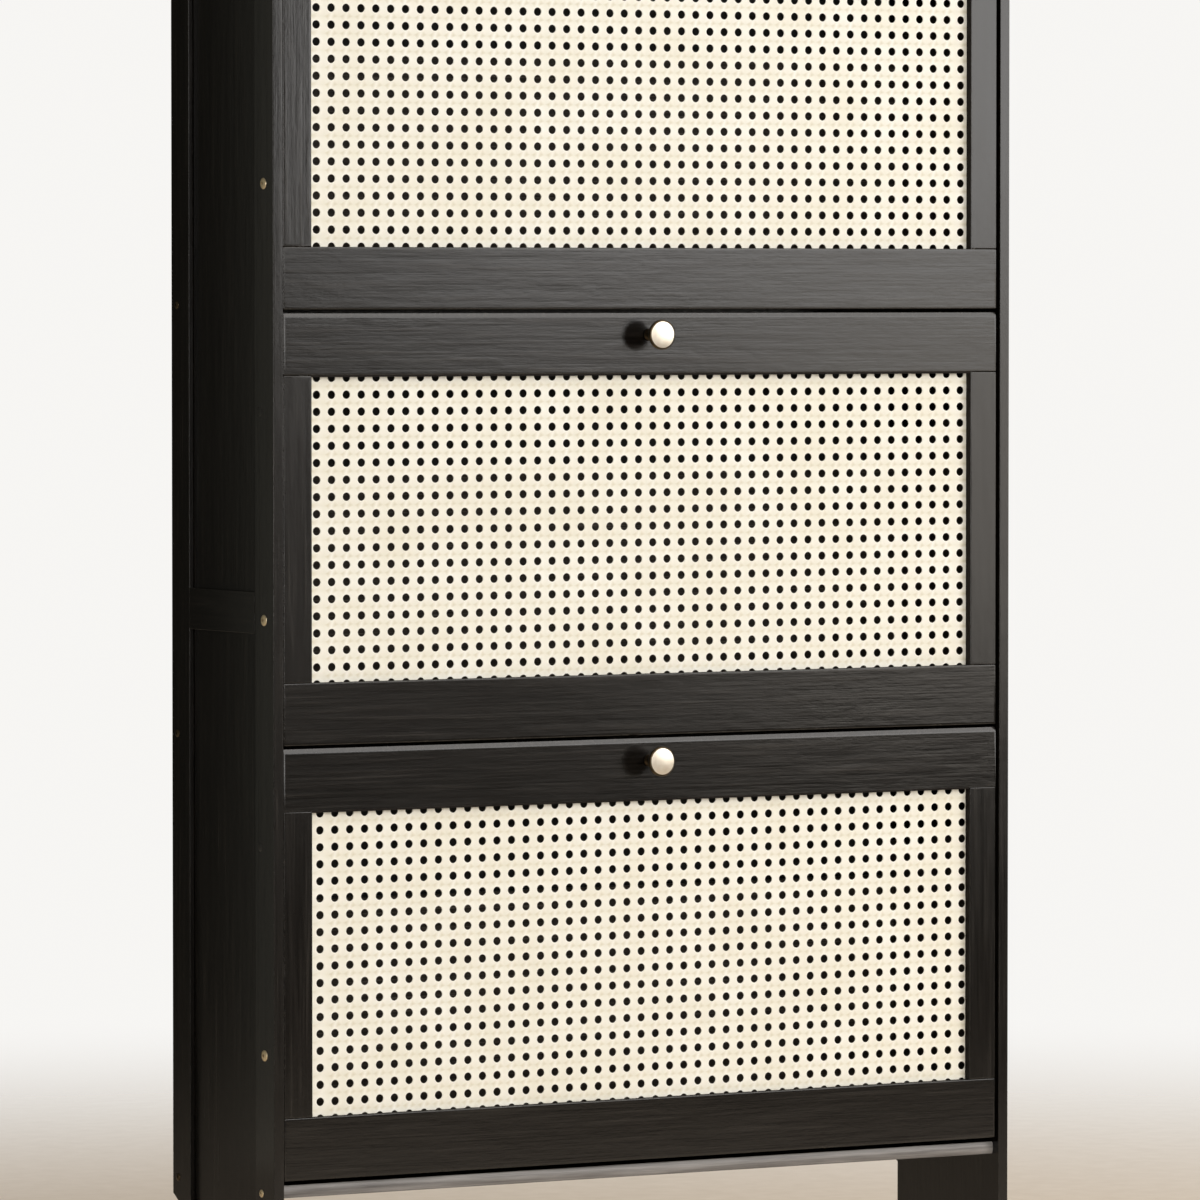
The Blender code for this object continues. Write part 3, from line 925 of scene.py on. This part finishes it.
def build_side_screws():
    """Screws that hold the bottom board and the back rails between the sides."""
    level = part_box("bottom_board")[0].z + SCREW_LEVEL
    back_y = node_middle("back_rail_lower").y
    spots = [
        ("front", node_middle("lower_left_pivot_bolt").y + SCREW_SETBACK, level),
        ("back", back_y, level),
    ]
    for rail in ("lower", "middle", "top"):
        spots.append((f"back_{rail}", back_y, node_middle(f"back_rail_{rail}").z))
    for side in SIDES:
        for label, y, z in spots:
            surface = SURFACES["bolt_brass" if label == "front" else "aged_brass"]
            turned_piece(f"screw_{side}_{label}", bolt_rings(SCREW_HEAD, SCREW_SHANK, SCREW_LENGTH),
                         24, surface, Vector((outer_face(side), y, z)),
                         "carcass", turn=outward(side))


def build_back_nails():
    """Small nails that hold the back panel to the sides' and rails' back edges."""
    low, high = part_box("back_panel")
    left, right = low.x + NAIL_INSET, high.x - NAIL_INSET
    bottom, top = low.z + NAIL_INSET, high.z - NAIL_INSET
    spots = []
    for x in (left, right):
        for index in range(NAILS_UP):
            spots.append((x, bottom + (top - bottom) * index / (NAILS_UP - 1)))
    levels = [bottom, high.z - 2.5 * NAIL_INSET]
    levels += [node_middle(f"back_rail_{rail}").z for rail in ("lower", "middle")]
    for index in range(1, NAILS_ACROSS + 1):
        x = left + (right - left) * index / (NAILS_ACROSS + 1)
        spots += [(x, z) for z in levels]
    backward = Matrix.Rotation(math.radians(180), 4, "Z")
    for number, (x, z) in enumerate(spots):
        turned_piece(f"back_nail_{number}", in_millimetres(NAIL), 16, SURFACES["zinc"],
                     Vector((x, high.y, z)), "carcass", turn=backward)


# -------------------------------------------------------------- the cabinet

def build_front_post(side):
    """The side's front post, with a lip that covers the front edge of the side board."""
    node = f"side_{side}_front_post"
    low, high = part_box(node)
    board_low, board_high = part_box(f"side_{side}_board")
    outer, step = (low.x, high.x) if side == "left" else (high.x, low.x)
    inner = board_high.x if side == "left" else board_low.x
    front = low.y - LIP_PROUD
    behind_lip = low.y + LIP_DEPTH
    corners = [(outer, front), (outer, high.y), (step, high.y), (step, behind_lip),
               (inner, behind_lip), (inner, front)]
    shape = drawn_out([(x, y, low.z) for x, y in corners], 2, high.z)
    painted(node, shape, "carcass", SURFACES[f"paint_post_{side}"],
            POST_EDGE_RADIUS, POST_WEAR_BAND)


def build_back_post(side):
    """The side's back post, notched at its foot for a skirting board."""
    node = f"side_{side}_back_post"
    low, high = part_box(node)
    notch = high.y - NOTCH_DEPTH
    corners = [(low.y, low.z), (notch, low.z), (notch, NOTCH_TOP),
               (high.y, NOTCH_TOP + NOTCH_SLOPE), (high.y, high.z), (low.y, high.z)]
    shape = drawn_out([(low.x, y, z) for y, z in corners], 0, high.x)
    painted(node, shape, "carcass", SURFACES[f"paint_panel_{side}"],
            STRIP_EDGE_RADIUS, min(WEAR_BAND, (high.x - low.x) / 4))


def build_side(side):
    build_front_post(side)
    for rail in ("bottom", "middle", "top"):
        board(f"side_{side}_{rail}_rail", SURFACES["paint_side_rails"], STRIP_EDGE_RADIUS)
    build_back_post(side)


def build_front(drawer):
    """The four boards of a drawer front."""
    body = f"{drawer}_drawer"
    for rail in ("top", "bottom"):
        carved_board(f"{drawer}_front_{rail}_rail", body, SURFACES[f"paint_rail_{drawer}"])
    for side in SIDES:
        carved_board(f"{drawer}_front_{side}_stile", body, SURFACES[f"paint_stile_{side}"])


def build_edge_strip():
    """The grey strip on the front edge of the bottom board, slightly domed."""
    low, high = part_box("bottom_board")
    half = (high.z - low.z) / 2
    reach = (half * half + STRIP_BULGE * STRIP_BULGE) / (2 * STRIP_BULGE)
    spread = math.asin(half / reach)
    front = low.y + STRIP_FRONT - STRIP_BULGE
    outline = []
    for step in range(2 * STRIP_STEPS + 1):
        angle = spread * (step / STRIP_STEPS - 1)
        y = front + reach * (1 - math.cos(angle))
        outline.append((low.x, y, low.z + half + reach * math.sin(angle)))
    outline += [(low.x, low.y + STRIP_BACK, high.z), (low.x, low.y + STRIP_BACK, low.z)]
    flat_piece("bottom_board_edge_strip", drawn_out(outline, 0, high.x), SURFACES["edge_strip"],
               "carcass")


def dress(node, surface):
    """Gives a solid its finish."""
    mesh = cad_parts[node].data
    mesh.materials.clear()
    mesh.materials.append(surface)
    mesh.shade_smooth()
    mesh.set_sharp_from_angle(angle=math.radians(40))


def dress_solids():
    """Finishes for the solids that stay."""
    dress("back_panel", SURFACES["backing"])
    for rail in ("lower", "middle", "top"):
        dress(f"back_rail_{rail}", SURFACES["paint_long"])
    for side in SIDES:
        dress(f"side_{side}_board", SURFACES[f"paint_panel_{side}"])
    for drawer in DRAWERS:
        for part in ("left_plate", "right_plate", "floor", "rear_wall"):
            dress(f"{drawer}_bucket_{part}", SURFACES["paint_bucket"])


# -------------------------------------------------------- camera and lights

def build_camera():
    """A level line of sight sets the place; the camera then looks down a little."""
    sight = Vector((math.sin(VIEW_AZIMUTH), math.cos(VIEW_AZIMUTH), 0))
    panel_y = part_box("middle_woven_panel")[0].y
    data = bpy.data.cameras.new("camera")
    data.sensor_width = SENSOR
    data.lens = LENS
    camera = bpy.data.objects.new("camera", data)
    bpy.context.scene.collection.objects.link(camera)
    camera.location = Vector((VIEW_OFFSET, panel_y, VIEW_HEIGHT)) - VIEW_DISTANCE * sight
    camera.rotation_euler = (math.radians(90) - VIEW_DROP, 0, -VIEW_AZIMUTH)
    bpy.context.scene.camera = camera


def area_light(name, position, target, width, height, power, colour):
    data = bpy.data.lights.new(name, "AREA")
    data.shape = "RECTANGLE"
    data.size = width
    data.size_y = height
    data.energy = power
    data.color = colour
    light = bpy.data.objects.new(name, data)
    bpy.context.scene.collection.objects.link(light)
    light.location = position
    aim = Vector(target) - Vector(position)
    light.rotation_euler = aim.to_track_quat("-Z", "Y").to_euler()
    light.visible_camera = False


def build_world():
    """A dim room round the object, with a pale backdrop that only the camera sees."""
    world = bpy.data.worlds.new("studio")
    bpy.context.scene.world = world
    world.use_nodes = True
    tree = world.node_tree
    dim = tree.nodes["Background"]
    pale = tree.nodes.new("ShaderNodeBackground")
    for node, (colour, strength) in ((dim, ROOM), (pale, BACKDROP)):
        node.inputs["Color"].default_value = colour
        node.inputs["Strength"].default_value = strength
    choice = tree.nodes.new("ShaderNodeMixShader")
    rays = tree.nodes.new("ShaderNodeLightPath")
    tree.links.new(rays.outputs["Is Camera Ray"], choice.inputs["Fac"])
    tree.links.new(dim.outputs["Background"], choice.inputs[1])
    tree.links.new(pale.outputs["Background"], choice.inputs[2])
    tree.links.new(choice.outputs["Shader"], tree.nodes["World Output"].inputs["Surface"])


def build_floor():
    """A pale round floor that fades out into the backdrop."""
    made = Nodes("studio_floor")
    grain = made.noise(40, detail=5)
    made.drive("Base Color", made.ramp(grain, (0.3, (0.71, 0.60, 0.47)), (0.7, (0.77, 0.66, 0.53))))
    made.set("Roughness", 0.8)
    distance = made.add("VectorMath", operation="LENGTH")
    made.join(made.places(), distance.inputs[0])
    fade = made.add("MapRange", interpolation_type="SMOOTHSTEP", in_From_Min=FLOOR_SOLID,
                    in_From_Max=FLOOR_RADIUS, in_To_Min=1.0, in_To_Max=0.0)
    made.join(distance.outputs["Value"], fade.inputs["Value"])
    made.drive("Alpha", fade.outputs["Result"])
    shape = bmesh.new()
    bmesh.ops.create_circle(shape, cap_ends=True, segments=96, radius=FLOOR_RADIUS)
    mesh = bpy.data.meshes.new("floor")
    shape.to_mesh(mesh)
    shape.free()
    mesh.materials.append(made.material)
    floor = bpy.data.objects.new("floor", mesh)
    bpy.context.scene.collection.objects.link(floor)
    floor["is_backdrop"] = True


build_camera()
build_floor()
for light_name, light in LIGHTS.items():
    area_light(light_name, *light)
build_world()
board("top_board", SURFACES["paint_top"], TOP_EDGE_RADIUS)
board("bottom_board", SURFACES["paint_long"])
build_edge_strip()
for side_name in SIDES:
    build_side(side_name)
for drawer_name in DRAWERS:
    build_front(drawer_name)
    build_webbing(drawer_name)
    build_gasket(drawer_name)
    build_knob(drawer_name)
    build_fasteners(drawer_name)
build_side_screws()
build_back_nails()
dress_solids()
bpy.context.scene.view_settings.view_transform = "Standard"

boxes = {"cad": CAD_BOX, "visual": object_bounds()}
{name: [list(corner) for corner in box] for name, box in boxes.items()}
